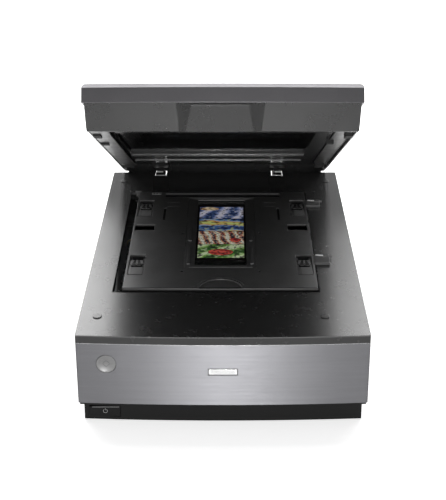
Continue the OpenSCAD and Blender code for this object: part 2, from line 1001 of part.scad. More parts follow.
// ---- Lid ----

// Arc of the lid's front: it stands out in the middle by the same radius as the case
module lid_bow(shift) {
    corner = bow_r - sqrt(pow(bow_r, 2) - pow(lid_w / 2, 2));
    translate([0, -lid_l - corner + shift + bow_r, 0])
        children();
}

// Upright section of the skirt, wider at the top, with rounded lower corners
module skirt_section(inset) {
    b = lid_w / 2 - inset;
    t = skirt_top_w / 2 - inset;
    r = 1.5;
    difference() {
        polygon([[-b, lid_v0], [b, lid_v0], [t, skirt_v1], [-t, skirt_v1]]);
        if (inset == 0)
            for (s = [-1, 1])
                translate([s * (b - r), lid_v0 + r])
                    difference() {
                        translate([s > 0 ? 0 : -r - 1, -r - 1])
                            square(r + 1);
                        circle(r = r);
                    }
    }
}

module skirt_solid(inset, v0, v1) {
    intersection() {
        translate([0, lid_rear - 1 - inset, 0])
            rotate([90, 0, 0])
                linear_extrude(lid_l + far)
                    skirt_section(inset);
        lid_bow(inset)
            bar_z(0, 0, [v0, v1], bow_r, $fn = bow_fn);
    }
}

// Solid wall behind the finger scoop, reaching depth back from the lid's corners
module scoop_backing(depth, v) {
    intersection() {
        skirt_solid(0.2, v[0], v[1]);
        lid_block([scoop_x - scoop_half, scoop_x + scoop_half], [lid_l - depth, lid_l + far], v);
    }
}

module lid_skirt() {
    color("#4a4a4d")
        on_lid()
            difference() {
                union() {
                    difference() {
                        skirt_solid(0, lid_v0, skirt_v1);
                        skirt_cavity();
                    }
                    scoop_backing(9, [plate_v[1] + 1, skirt_v1]);
                    scoop_backing(3, [lid_v0, plate_v[1] + 2]);
                    lid_bosses();
                    lid_valance();
                }
                finger_scoop();
            }
}

module skirt_cavity() {
    intersection() {
        translate([0, lid_rear - 1 - wall, -1])
            rotate([90, 0, 0])
                linear_extrude(lid_l + far)
                    skirt_inner_section();
        lid_bow(wall)
            bar_z(0, 0, [0, skirt_v1 + 1], bow_r, $fn = bow_fn);
    }
}

module skirt_inner_section() {
    b = lid_w / 2 - wall;
    t = skirt_top_w / 2 - wall;
    polygon([[-b, lid_v0], [b, lid_v0], [t, skirt_v1 + 2], [-t, skirt_v1 + 2]]);
}

// Flap under the rear wall that hides the hinges' gap, notched round both posts
module lid_valance() {
    half = lid_w / 2 - 6;
    drop = 3.5;
    difference() {
        lid_block([-half, half], [1 - lid_rear, 3.5 - lid_rear], [-drop, lid_v0 + 1]);
        for (x = hinge_x)
            lid_block([x - post_w / 2 - 1, x + post_w / 2 + 1], [-lid_rear, 0], [-drop - 1, lid_v0]);
    }
}

// Bosses that carry the inner frame's screws, each joined to the wall by a rib
module lid_bosses() {
    for (s = [-1, 1], u = lid_screw_u)
        difference() {
            union() {
                bar_z(s * lid_screw_x, -u, [plate_v[1], skirt_v1 - 1], boss_r);
                intersection() {
                    skirt_solid(0.2, plate_v[1], skirt_v1 - 1);
                    lid_block(s > 0 ? [lid_screw_x, half_w] : [-half_w, -lid_screw_x], [u - 1.5, u + 1.5],
                              [plate_v[1], skirt_v1 - 1]);
                }
            }
            bar_z(s * lid_screw_x, -u, [plate_v[1] - 1, plate_v[1] + 12], screw_r + 0.1);
        }
}

// Plan of one level of the finger scoop: flat in the middle, easing out to both sides
function scoop_level(depth, flat, out, v) =
    concat([for (i = [0:scoop_steps])
                [-out + (out - flat) * i / scoop_steps, depth * (1 - cos(180 * i / scoop_steps)) / 2, v]],
           [for (i = [0:scoop_steps])
                [flat + (out - flat) * i / scoop_steps, depth * (1 + cos(180 * i / scoop_steps)) / 2, v]],
           [[out, -8, v], [-out, -8, v]]);

// Finger scoop under the cap: deep and soft-sided at the top, shallow at the bottom edge
module finger_scoop() {
    lower = scoop_level(2.5, 34, 46, lid_v0 - 0.5);
    upper = scoop_level(6.7, 27, 51, skirt_v1 + 0.5);
    n = len(lower);
    translate([scoop_x, -lid_l - 4.1, 0])
        polyhedron(points = concat(lower, upper),
                   faces = concat([[for (i = [n - 1:-1:0]) i], [for (i = [0:n - 1]) n + i]],
                                  [for (i = [0:n - 1]) [n + (i + 1) % n, n + i, i]],
                                  [for (i = [0:n - 1]) [n + (i + 1) % n, i, (i + 1) % n]]));
}

module lid_cap() {
    color("#5c5c60")
        on_lid()
            difference() {
                cap_solid(0, skirt_v1, cap_v1, cap_bevel);
                cap_solid(wall, skirt_v1 - 1, cap_v1 - wall, cap_bevel - 1);
            }
}

module cap_solid(inset, v0, v1, bevel) {
    half = cap_w / 2 - inset;
    edge = 2.5;
    intersection() {
        translate([0, lid_rear - inset, 0])
            rotate([90, 0, 0])
                linear_extrude(lid_l + far)
                    polygon([[-half, v0], [half, v0], [half, v1 - edge], [half - edge, v1],
                             [-half + edge, v1], [-half, v1 - edge]]);
        rotate([90, 0, 90])
            translate([0, 0, -half - 1])
                linear_extrude(2 * half + 2)
                    polygon([[-lid_l - far, v0], [lid_rear - inset, v0],
                             [lid_rear - inset, v1 - bevel], [lid_rear - inset - bevel, v1],
                             [-lid_l - far, v1]]);
        lid_bow(inset)
            union() {
                bar_z(0, 0, [v0, v1 - bevel], bow_r, $fn = bow_fn);
                translate([0, 0, v1 - bevel])
                    cylinder(r1 = bow_r, r2 = bow_r - bevel, h = bevel, $fn = bow_fn);
            }
    }
}

// Flat underside inside the skirt, with the window opening and its bezel bars
module lid_inner_frame() {
    color("#3a3a3d")
        on_lid()
            difference() {
                union() {
                    intersection() {
                        lid_block([-138.6, 138.6], [-6, lid_l + far], plate_v);
                        lid_bow(wall + 0.4)
                            bar_z(0, 0, [0, far], bow_r, $fn = bow_fn);
                    }
                    lid_block(win_x, [124, 160], [plate_v[0] - 2, plate_v[0] + eps]);
                    lid_block(win_x, [93, 95.5], [plate_v[0] - 1.6, plate_v[0] + eps]);
                    lid_block([-39, 39], [lid_l - 7, lid_l - 4.5], [plate_v[0] - 1.6, plate_v[0] + eps]);
                }
                lid_block(win_x, win_u, [plate_v[0] - 3, plate_v[1] + 1]);
                lid_block([scoop_x - scoop_half - 0.4, scoop_x + scoop_half + 0.4], [lid_l - 3.4, lid_l + far],
                          [plate_v[0] - 1, plate_v[1] + 1]);
                for (s = [-1, 1], u = lid_screw_u)
                    bar_z(s * lid_screw_x, -u, [0, far], screw_r + 0.2);
            }
}

module lid_window() {
    color("#20262a", 0.6)
        on_lid()
            lid_block([win_x[0] - 5, win_x[1] + 5], [win_u[0] - 5, win_u[1] + 5],
                      [plate_v[1], plate_v[1] + 2]);
}

// Rubber rests under the lid's corners, and small stops beside the window
module lid_feet() {
    foot_v = lid_v0 - 0.9;
    color("#19191b")
        on_lid() {
            for (s = [-1, 1])
                lid_block([s * 134 - 4, s * 134 + 4], [396, 418], [foot_v, plate_v[0]]);
            lid_block([-138, -129], [326, 338], [foot_v, plate_v[0]]);
            lid_block([116, 124], [328, 338], [foot_v + 1, plate_v[0]]);
            for (s = [-1, 1])
                lid_block([s * 128 - 6, s * 128 + 6], [44, 62], [foot_v + 1, plate_v[0]]);
        }
}

module lid_screws() {
    color("#8c8c90")
        on_lid()
            for (s = [-1, 1], u = lid_screw_u)
                union() {
                    bar_z(s * lid_screw_x, -u, [plate_v[0] - 1.4, plate_v[1] + 9], screw_r);
                    bar_z(s * lid_screw_x, -u, [plate_v[0] - 1.8, plate_v[0]], 3);
                }
}

// Steel arms screwed under the lid, each with a knuckle between a post's cheeks
module lid_hinge_arms() {
    plate_half = 11;
    color("#b9babd")
        on_lid()
            for (x = hinge_x)
                difference() {
                    union() {
                        bar_x([x - tongue_w / 2, x + tongue_w / 2], 0, 0, knuckle_r);
                        lid_block([x - tongue_w / 2, x + tongue_w / 2], [-knuckle_r, knuckle_r],
                                  [0, plate_v[0]]);
                        lid_block([x - plate_half, x + plate_half], [-5.5, 40],
                                  [plate_v[0] - 2, plate_v[0]]);
                    }
                    bar_x([x - post_w, x + post_w], 0, 0, pin_r + 0.06);
                }
}

module lid_guide_rod() {
    color("#c8c9cc")
        on_lid()
            union() {
                bar_y(lid_rod_x, [-lid_l + 20, -70], lid_rod_v, lid_rod_r);
                for (u = [72, lid_l - 32])
                    difference() {
                        lid_block([lid_rod_x - 5, lid_rod_x + 5], [u, u + 8],
                                  [plate_v[1] + 0.1, lid_rod_v + 4.5]);
                        bar_y(lid_rod_x, [-u - 9, -u + 1], lid_rod_v, lid_rod_r);
                    }
            }
}

// Motor over the belt, hung from a plate across the lid's front corner
module lid_motor() {
    color("#87888b")
        on_lid()
            union() {
                bar_z(lid_belt_x, -lid_drive_u, [38, 50], 10);
                bar_z(lid_belt_x, -lid_drive_u, [lid_belt_v[0] - 1, 38 + eps], 1.5);
                lid_block([lid_belt_x - 14, lid_belt_x + 14], [lid_drive_u - 12, lid_drive_u + 12],
                          [37.5, 39]);
                lid_block([lid_belt_x + 11, lid_belt_x + 14], [lid_drive_u - 12, lid_drive_u + 12],
                          [plate_v[1] + 0.1, 39]);
            }
}

module lid_drive_pulley() {
    color("#e6e3da")
        on_lid()
            translate([lid_belt_x, -lid_drive_u, 0])
                pulley(lid_pulley_r, 1.5 + run_gap, lid_belt_v);
}

module lid_idler_pulley() {
    color("#e6e3da")
        on_lid()
            translate([lid_belt_x, -lid_idler_u, 0])
                pulley(lid_pulley_r, 2 + run_gap, lid_belt_v);
}

module lid_belt() {
    inner = lid_pulley_r + 0.3;
    color("#18181a")
        on_lid() {
            translate([0, 0, lid_belt_v[0] + 0.2])
                belt_loop(lid_belt_x, -lid_drive_u, -lid_idler_u, inner, inner + 1.1,
                          lid_belt_v[1] - lid_belt_v[0] - 0.4);
            // idler's axle and foot
            bar_z(lid_belt_x, -lid_idler_u, [plate_v[1] + 0.1, lid_belt_v[1] + 1.5], 2);
        }
}

// Lamp unit that travels over the lid's window
module lamp_carriage() {
    color("#2a2a2c")
        on_lid()
            union() {
                difference() {
                    lid_block(lamp_x, lamp_u, lamp_v);
                    lid_block([lamp_x[0] + 3, lamp_x[1] - 3], [lamp_u[0] + 3, lamp_u[1] - 3],
                              [lamp_v[0] - 1, lamp_v[1] - 2.5]);
                }
                difference() {
                    lid_block([lid_rod_x - 6, lamp_x[0] + 1], lamp_u, [lid_rod_v - 5.5, lid_rod_v + 5.5]);
                    bar_y(lid_rod_x, [-lamp_u[1] - 1, -lamp_u[0] + 1], lid_rod_v, lid_rod_r + run_gap);
                }
                for (x = [lid_belt_x + lid_pulley_r - 2.2, lid_belt_x + lid_pulley_r + 1.9])
                    lid_block([x, x + 2], [lamp_u[0] + 10, lamp_u[1] - 10],
                              [lamp_v[1] - 1, lid_belt_v[1] - 1]);
            }
}

module lamp_light_bar() {
    color("#f4f2e6")
        on_lid()
            lid_block([lamp_x[0] + 6, lamp_x[1] - 6], [lamp_u[0] + 7, lamp_u[1] - 7],
                      [lamp_v[0] + 0.5, lamp_v[0] + 5]);
}

// ---- Film holder ----

module holder_frame() {
    x0 = holder_x - holder_w / 2;
    x1 = holder_x + holder_w / 2;
    y1 = holder_y + holder_l;
    under = holder_z1 - holder_top_t;
    color("#3c3c3f")
        from_front()
            difference() {
                union() {
                    difference() {
                        block([x0, x1], [holder_y, y1], [holder_z0, holder_z1]);
                        block([x0 + holder_rim, x1 - holder_rim],
                              [holder_y + holder_rim, y1 - holder_rim], [holder_z0 - 1, under]);
                    }
                    for (x = adjust_x, y = adjust_y)
                        block([x - adjust_w / 2 - 2, x + adjust_w / 2 + 2], [y - 2, y + adjust_l + 2],
                              [holder_z0 + 0.4, holder_z1 - eps]);
                    // ledge round the film window, which carries the support glass
                    block([film_x - window_w / 2 - 9, film_x + window_w / 2 + 9],
                          [window_y - 9, window_y + window_l + 12], [holder_z0 + 0.4, holder_z1 - eps]);
                }
                holder_window();
                cover_seat();
                for (x = [-98.5, 91.2])
                    block([x - 12.1, x + 12.1], [269, 289.5], [holder_z0 - 1, holder_z1 + 1]);
                for (x = [-48, 41], y = [151])
                    bar_z(x, y, [holder_z0 - 1, holder_z1 + 1], 1.6);
                for (x = [-50.5, 43.5], y = [262])
                    bar_z(x, y, [holder_z0 - 1, holder_z1 + 1], 1.6);
                for (x = adjust_x, y = adjust_y)
                    adjuster_pocket(x, y);
                for (s = [-1, 1])
                    corner_marks(s);
                finger_notch();
                block([-78, 73], [382.5, y1 - 6], [holder_z0 - 1, holder_z1 + 1]);
            }
}

module holder_window() {
    block([film_x - window_w / 2, film_x + window_w / 2], [window_y, window_y + window_l],
          [holder_z0 - 1, holder_z1 + 1]);
    block([film_x - window_w / 2 - 5, film_x + window_w / 2 + 5],
          [window_y - 5, window_y + window_l + 5], [film_z - 1.6, holder_z1 + 1]);
}

// Shallow seat of the film cover, with the bores of its two stub pins
module cover_seat() {
    block([cover_x[0] - gap, cover_x[1] + gap], [cover_y[0] - gap, cover_pin_y + barrel_r + gap],
          [cover_z0 - gap, holder_z1 + 1]);
    block([cover_x[0] - gap, cover_x[1] + gap],
          [cover_pin_y - barrel_r - gap, cover_pin_y + barrel_r + gap],
          [cover_pin_z - barrel_r - gap, holder_z1 + 1]);
    bar_x([cover_x[0] - gap - 2.5, cover_x[1] + gap + 2.5], cover_pin_y, cover_pin_z,
          cover_pin_r + run_gap);
}

module adjuster_pocket(x, y) {
    block([x - adjust_w / 2, x + adjust_w / 2], [y, y + adjust_l], [adjust_z - gap, holder_z1 + 1]);
    block([x - adjust_w / 2 + 3, x + adjust_w / 2 - 3], [y + adjust_l - 10, y + adjust_l],
          [holder_z0 - 1, holder_z1]);
}

// Shallow L-shaped guide marks behind each side of the window
module corner_marks(s) {
    depth = 0.8;
    x = film_x + s * 72.5;
    block([x - 1.5, x + 1.5], [304, 344], [holder_z1 - depth, holder_z1 + 1]);
    for (y = [348, 362])
        block([x - (s > 0 ? 18 : -2), x + (s > 0 ? -2 : 18)], [y, y + 2.5],
              [holder_z1 - depth, holder_z1 + 1]);
}

module finger_notch() {
    notch_r = 24;
    bar_z(-3.2, holder_y - 1, [holder_z1 - 1.4, holder_z1 + 1], notch_r);
    translate([-3.2, holder_y - 1, holder_z1 - 0.6])
        difference() {
            cylinder(r = notch_r + 4, h = 2);
            translate([0, 0, -1])
                cylinder(r = notch_r + 3, h = 4);
        }
}

// Anti-ring glass that the film lies on
module film_support() {
    color("#aab4b8", 0.4)
        from_front()
            block([film_x - window_w / 2 - 4.6, film_x + window_w / 2 + 4.6],
                  [window_y - 4.6, window_y + window_l + 4.6], [film_z - 1.6, film_z - 0.4]);
}

module film_strip() {
    film_w = 60;
    color("#4b5a86")
        from_front()
            block([film_x - film_w / 2, film_x + film_w / 2], [186, 360], [film_z - 0.4, film_z - 0.2]);
}

// Hinged cover that presses the film flat, with two latch ribs on each side
module holder_cover() {
    top = cover_z0 + 1.3;
    color("#2f2f32")
        from_front()
            union() {
                difference() {
                    block(cover_x, cover_y, [cover_z0, top]);
                    block([film_x - window_w / 2, film_x + window_w / 2],
                          [window_y, window_y + window_l], [cover_z0 - 1, top + 1]);
                }
                bar_x(cover_x, cover_pin_y, cover_pin_z, barrel_r);
                block(cover_x, [cover_y[1] - 1, cover_pin_y], [cover_z0, top]);
                bar_x([cover_x[0] - gap - 2, cover_x[1] + gap + 2], cover_pin_y, cover_pin_z,
                      cover_pin_r);
                for (x = [-43, 31], y = [[171, 221], [238, 276]])
                    block([x, x + 3.6], y, [top - eps, top + 0.9]);
            }
}

// Height adjuster at [x, y]: grip plate, double knob and pointer rib
module adjuster(x, y) {
    slider_l = adjust_l - 12 - gap;
    color("#4a4a4d")
        from_front()
            union() {
                block([x - adjust_w / 2 + gap, x + adjust_w / 2 - gap], [y + gap, y + slider_l],
                      [adjust_z, adjust_z + 1.8]);
                block([x - 6.4, x + 6.4], [y + gap + 1, y + 20], [adjust_z + 1, holder_z1]);
                for (s = [-1, 1])
                    bar_z(x + s * 3.2, y + 27, [adjust_z + 1, holder_z1 + 0.8], 3);
                block([x - 1, x + 1], [y + 30, y + slider_l - 1], [adjust_z + 1, holder_z1 - 0.4]);
            }
}

module adjuster_front_left() {
    adjuster(adjust_x[0], adjust_y[0]);
}

module adjuster_front_right() {
    adjuster(adjust_x[1], adjust_y[0]);
}

module adjuster_rear_left() {
    adjuster(adjust_x[0], adjust_y[1]);
}

module adjuster_rear_right() {
    adjuster(adjust_x[1], adjust_y[1]);
}

// Clear hooks on the right edge that rest on the deck
module holder_tabs() {
    z0 = deck_z + 0.3;
    color("#8f9093")
        from_front()
            for (y = tab_y)
                union() {
                    block(tab_x, y, [z0 + 1.2, z0 + 3]);
                    block([tab_x[1] - 1.8, tab_x[1]], y, [z0, z0 + 3]);
                    block([tab_x[0], tab_x[1]], [y[0], y[0] + 1.6], [z0, z0 + 3]);
                    block([tab_x[1] - 7, tab_x[1]], [y[1] - 7, y[1]], [z0 + 1.2, z0 + 4]);
                    bar_x([tab_x[1] - 1, tab_x[1] + 3], y[1] - 3, z0 + 2.4, 1.3);
                }
}

base_tray();
upper_cover();
front_panel();
platen_glass();
glass_gasket();
calibration_strip();
rear_plate();
circuit_boards();
dc_inlet();
usb_socket();
lid_cable_socket();
rubber_feet();
base_screws();
deck_bumpers();
guide_rod();
rod_clamps();
support_rail();
drive_motor();
motor_bracket();
motor_pinion();
drive_pulley();
idler_pulley();
idler_bracket();
tension_spring();
drive_belt();
hinge_sockets();
hinge_posts();
hinge_pins();
transport_lock();
start_button();
power_button();
carriage_frame();
carriage_lamp();
carriage_mirrors();
scan_lenses();
sensor_board();
carriage_bushes();
lid_cap();
lid_skirt();
lid_inner_frame();
lid_window();
lid_feet();
lid_hinge_arms();
lid_screws();
lid_guide_rod();
lid_motor();
lid_belt();
lid_drive_pulley();
lid_idler_pulley();
lamp_carriage();
lamp_light_bar();
holder_frame();
film_support();
film_strip();
holder_cover();
adjuster_front_left();
adjuster_front_right();
adjuster_rear_left();
adjuster_rear_right();
holder_tabs();
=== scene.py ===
"""Flatbed scanner with its lid open and a film holder on the glass: looks built round the CAD frame.

Lengths are in metres, in the row frame: +X to the right, +Y to the rear, +Z up, floor at z 0.
"""
import json
import math

import bmesh
import bpy
from mathutils import Matrix, Vector


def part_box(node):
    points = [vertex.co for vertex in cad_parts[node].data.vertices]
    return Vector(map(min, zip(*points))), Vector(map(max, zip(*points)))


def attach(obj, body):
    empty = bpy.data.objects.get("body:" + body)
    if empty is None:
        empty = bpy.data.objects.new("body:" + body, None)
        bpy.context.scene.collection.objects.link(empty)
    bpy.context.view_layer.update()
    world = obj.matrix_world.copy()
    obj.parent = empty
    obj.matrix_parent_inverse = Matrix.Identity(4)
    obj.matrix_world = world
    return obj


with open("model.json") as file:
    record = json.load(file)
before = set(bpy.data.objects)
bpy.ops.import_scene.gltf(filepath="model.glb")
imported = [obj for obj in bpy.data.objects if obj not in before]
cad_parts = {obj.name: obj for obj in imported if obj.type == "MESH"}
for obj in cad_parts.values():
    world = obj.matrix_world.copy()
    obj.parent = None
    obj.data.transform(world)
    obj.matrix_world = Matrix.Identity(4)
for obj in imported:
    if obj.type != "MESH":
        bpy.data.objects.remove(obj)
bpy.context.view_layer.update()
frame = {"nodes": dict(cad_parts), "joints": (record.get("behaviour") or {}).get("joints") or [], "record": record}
NODES = frame["nodes"]
JOINTS = {j["name"]: j for j in frame["joints"]}

MM = 0.001
LID_ANGLE = math.radians(-JOINTS["lid_hinge"]["range_deg"][0])
HINGE = Vector(JOINTS["lid_hinge"]["pos_m"])
HALF_WIDTH = 154             # half the width of the case, in millimetres
BOW = 4.9                    # how far the front's middle stands before its corners, in millimetres
HINGE_ARM_HALF = 4.2
HOLDER_X = -3.5              # middle of the film holder, in millimetres
BADGE_Z = 64
START_PLACE = (-122.3, 72)   # x and z of the start button
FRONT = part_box("upper_cover")[0].y + BOW * MM
CASE_FRAME = Matrix.Translation((0, FRONT, 0)) @ Matrix.Scale(MM, 4)
# on the hinge's axis: x to the right, y rearwards along the lid, z up through its thickness
LID_FRAME = Matrix.Translation(HINGE) @ Matrix.Rotation(-LID_ANGLE, 4, "X") @ Matrix.Scale(MM, 4)


# ---- Materials ----

class Nodes:
    """A node tree, with short calls to add and link nodes."""

    def __init__(self, tree):
        self.tree = tree

    def add(self, kind, inputs=None, **settings):
        node = self.tree.nodes.new("ShaderNode" + kind)
        for key, value in settings.items():
            setattr(node, key, value)
        for key, value in (inputs or {}).items():
            self.put(node.inputs[key], value)
        return node

    def put(self, socket, value):
        if isinstance(value, bpy.types.NodeSocket):
            self.tree.links.new(value, socket)
        else:
            socket.default_value = value

    def position(self, scale=(1, 1, 1), turn=(0, 0, 0)):
        """Object coordinates in metres, turned and stretched by scale."""
        coord = self.add("TexCoord")
        place = self.add("Mapping", {"Vector": coord.outputs["Object"], "Scale": scale, "Rotation": turn})
        return place.outputs[0]

    def noise(self, scale, detail=3.0, rough=0.5, stretch=(1, 1, 1), turn=(0, 0, 0)):
        node = self.add("TexNoise", {"Vector": self.position(stretch, turn), "Scale": scale,
                                     "Detail": detail, "Roughness": rough})
        return node.outputs["Fac"]

    def remap(self, value, low, high, to_low, to_high):
        """Value's range from low to high, stretched to another range and clamped."""
        node = self.add("MapRange", {"Value": value, "From Min": low, "From Max": high,
                                     "To Min": to_low, "To Max": to_high})
        return node.outputs[0]

    def mix(self, factor, a, b, blend="MIX"):
        """Colour a where factor is 0, and b where it is 1."""
        node = self.add("Mix", data_type="RGBA", blend_type=blend)
        self.put(node.inputs[0], factor)
        self.put(node.inputs[6], a)
        self.put(node.inputs[7], b)
        return node.outputs[2]

    def math(self, operation, a, b=0.0):
        node = self.add("Math", operation=operation)
        self.put(node.inputs[0], a)
        self.put(node.inputs[1], b)
        return node.outputs[0]

    def edges(self, radius):
        """1 along convex edges and 0 on flats."""
        rounded = self.add("Bevel", {"Radius": radius}, samples=8)
        flat = self.add("NewGeometry")
        dot = self.add("VectorMath", {0: rounded.outputs[0], 1: flat.outputs["Normal"]},
                       operation="DOT_PRODUCT")
        return self.remap(dot.outputs["Value"], 0.985, 0.80, 0.0, 1.0)

    def bump(self, height, strength, distance, base=None):
        inputs = {"Height": height, "Strength": strength, "Distance": distance}
        if base is not None:
            inputs["Normal"] = base
        return self.add("Bump", inputs).outputs[0]

    def ramp(self, value, stops):
        """A colour ramp with the given (place, colour) stops."""
        node = self.add("ValToRGB", {"Fac": value})
        bands = node.color_ramp.elements
        while len(bands) < len(stops):
            bands.new(0.5)
        for band, (place, colour) in zip(bands, stops):
            band.position = place
            band.color = colour
        return node.outputs[0]

    def rounded(self, radius):
        """Normals that round sharp edges off."""
        return self.add("Bevel", {"Radius": radius}, samples=8).outputs[0]


class Graph(Nodes):
    """A new material's nodes, round a Principled shader."""

    def __init__(self, name):
        self.material = bpy.data.materials.new(name)
        self.material.use_nodes = True
        super().__init__(self.material.node_tree)
        self.tree.nodes.clear()
        self.shader = self.add("BsdfPrincipled")
        self.add("OutputMaterial", {"Surface": self.shader.outputs[0]})

    def principled(self, **values):
        """Sets or links the shader's inputs, named with underscores for spaces."""
        for key, value in values.items():
            self.put(self.shader.inputs[key.replace("_", " ")], value)


def grey(value, tint=(1.0, 1.0, 1.0)):
    return (value * tint[0], value * tint[1], value * tint[2], 1.0)


def shade(colour, factor, lift=0.0):
    return tuple(min(1.0, c * factor + lift) for c in colour[:3]) + (1.0,)


def object_place(g):
    """Object coordinates as separate outputs X, Y and Z."""
    return g.add("SeparateXYZ", {"Vector": g.add("TexCoord").outputs["Object"]}).outputs


def moulded(name, colour, rough, grain=900, grain_depth=0.05, wear_and_highlight=0.5, radius=0.5, specular=0.5):
    """Moulded plastic: spark-eroded grain, faint clouding and lighter edges, partly wear and partly painted
    highlight.
    """
    g = Graph(name)
    body = g.mix(g.noise(14, 4), shade(colour, 0.88), shade(colour, 1.12))
    # edges lightened by the bevel mask: partly wear, partly a painted highlight where light would catch them
    edge = g.math("MULTIPLY", g.edges(radius * MM), wear_and_highlight)
    g.principled(Base_Color=g.mix(edge, body, shade(colour, 2.2, 0.02)), Specular_IOR_Level=specular)
    g.principled(Roughness=g.remap(g.noise(60, 5, 0.6), 0.3, 0.7, rough * 0.85, rough * 1.15))
    g.principled(Normal=g.bump(g.noise(grain, 2, 0.6), 0.35, grain_depth * MM, g.rounded(radius * MM)))
    return g.material


def brushed(name, colour, rough, fine=2600, spread=0.16, anisotropic=0.0):
    """Metal brushed from left to right: long fine scratches in colour, roughness and relief."""
    g = Graph(name)
    along_x = (0.012, 1, 1)
    lines = g.noise(fine, 3, 0.65, along_x)
    broad = g.noise(fine / 9, 2, 0.5, along_x)
    both = g.math("ADD", g.math("MULTIPLY", lines, 0.65), g.math("MULTIPLY", broad, 0.35))
    body = g.mix(g.remap(both, 0.35, 0.65, 0.0, 1.0), shade(colour, 1 - spread), shade(colour, 1 + spread))
    g.principled(Base_Color=body, Metallic=1.0)
    g.principled(Roughness=g.remap(lines, 0.3, 0.7, rough * 0.85, rough * 1.2))
    g.principled(Normal=g.bump(both, 0.25, 0.03 * MM))
    if anisotropic:
        upright_tangent = g.add("CombineXYZ", {"Z": 1.0})
        g.principled(Anisotropic=anisotropic, Tangent=upright_tangent.outputs[0])
    return g.material


def painted(name, colour, rough, metallic=0.6, painted_shade_span=None):
    """Metallic paint: sparse fine flakes in a satin finish.

    Between the two places along Y that the last argument gives, it fades to near black on the inner sides: painted
    shade on the lid's inner rear.
    """
    g = Graph(name)
    flakes = g.add("TexVoronoi", {"Vector": g.position(), "Scale": 3200.0}, feature="F1")
    sparkle = g.remap(flakes.outputs["Color"], 0.55, 1.0, 0.0, 0.2)
    body = g.mix(g.noise(9, 3), shade(colour, 0.94), shade(colour, 1.06))
    shiny = g.mix(sparkle, body, shade(colour, 2.0))
    # painted shade: towards the rear the inner sides fade to near black
    if painted_shade_span:
        place = object_place(g)
        inner = g.remap(g.math("ABSOLUTE", place["X"]), 0.137, 0.138, 1.0, 0.0)
        painted_shade = g.math("MULTIPLY", g.remap(place["Y"], *painted_shade_span, 0.0, 1.0), inner)
        shiny = g.mix(painted_shade, shiny, grey(0.004))
    g.principled(Base_Color=shiny, Metallic=metallic)
    g.principled(Roughness=g.remap(g.noise(45, 5, 0.6), 0.3, 0.7, rough * 0.92, rough * 1.1))
    g.principled(Normal=g.bump(g.noise(420, 2, 0.5), 0.06, 0.01 * MM))
    return g.material


def metal(name, colour, rough, grain=700, dark_behind=None):
    """Plated or ground metal with fine random scratches, darkened to near black behind a plane across Y if given.
    """
    g = Graph(name)
    scratches = g.noise(grain, 4, 0.7, (1, 0.15, 1))
    body = g.mix(g.noise(35, 4, 0.6), shade(colour, 0.88), shade(colour, 1.06))
    if dark_behind:
        body = g.mix(g.remap(object_place(g)["Y"], *dark_behind, 0.0, 1.0), body, grey(0.03))
    g.principled(Base_Color=body, Metallic=1.0)
    g.principled(Roughness=g.remap(scratches, 0.3, 0.7, rough * 0.7, rough * 1.4))
    g.principled(Normal=g.bump(scratches, 0.15, 0.01 * MM, g.rounded(0.3 * MM)))
    return g.material


def clear(name, colour, rough, ior=1.5):
    """Glass, faintly uneven in colour, with wipe marks that only the roughness shows."""
    g = Graph(name)
    wipes = g.noise(26, 6, 0.7, (1, 0.3, 1), (0, 0, 0.5))
    g.principled(Base_Color=g.mix(g.noise(120, 4), colour, shade(colour, 0.94)))
    g.principled(Roughness=g.remap(wipes, 0.45, 0.75, rough, rough + 0.08))
    g.principled(Transmission_Weight=1.0, IOR=ior)
    return g.material


def lamp(name):
    """Frosted lamp tube, faintly clouded."""
    g = Graph(name)
    g.principled(Base_Color=g.mix(g.noise(200, 2), (0.80, 0.80, 0.76, 1), (0.88, 0.88, 0.84, 1)))
    g.principled(Roughness=g.remap(g.noise(90, 3), 0.3, 0.7, 0.25, 0.4), Subsurface_Weight=0.2)
    return g.material


def board(name):
    """Green circuit board with traces and round gold pads."""
    g = Graph(name)
    tracks = g.add("TexBrick", {"Vector": g.position(), "Scale": 160.0, "Mortar Size": 0.06,
                                "Color1": (0.01, 0.11, 0.04, 1), "Color2": (0.012, 0.14, 0.05, 1),
                                "Mortar": (0.03, 0.24, 0.09, 1)})
    pads = g.add("TexVoronoi", {"Vector": g.position(), "Scale": 420.0}, feature="F1")
    spot = g.remap(pads.outputs["Distance"], 0.16, 0.10, 0.0, 1.0)
    g.principled(Base_Color=g.mix(spot, tracks.outputs["Color"], (0.75, 0.62, 0.35, 1)))
    g.principled(Roughness=g.remap(g.noise(300, 3), 0.3, 0.7, 0.3, 0.5))
    g.principled(Normal=g.bump(tracks.outputs["Fac"], 0.3, 0.03 * MM))
    return g.material


def deck_material(name):
    """Graphite plastic, glossier towards the hinges, and lighter there by a painted reflection of the lid's
    underside.
    """
    g = Graph(name)
    place = object_place(g)
    rear = g.remap(place["Y"], -0.02, 0.14, 0.0, 1.0)
    # painted reflection: both ends of the clouding lighten towards the hinges, standing for the lid's underside
    # seen in the glossy rear deck
    darker = g.mix(rear, grey(0.020), grey(0.065))
    lighter = g.mix(rear, grey(0.024), grey(0.075))
    g.principled(Base_Color=g.mix(g.noise(11, 4), darker, lighter))
    g.principled(Specular_IOR_Level=g.remap(place["Z"], 0.1032, 0.1042, 0.3, 0.9))
    satin = g.remap(g.noise(70, 5, 0.6), 0.3, 0.7, 0.25, 0.28)
    g.principled(Roughness=g.math("MULTIPLY", satin, g.remap(rear, 0.0, 1.0, 1.0, 0.45)))
    g.principled(Normal=g.bump(g.noise(1300, 2, 0.6), 0.05, 0.004 * MM))
    return g.material


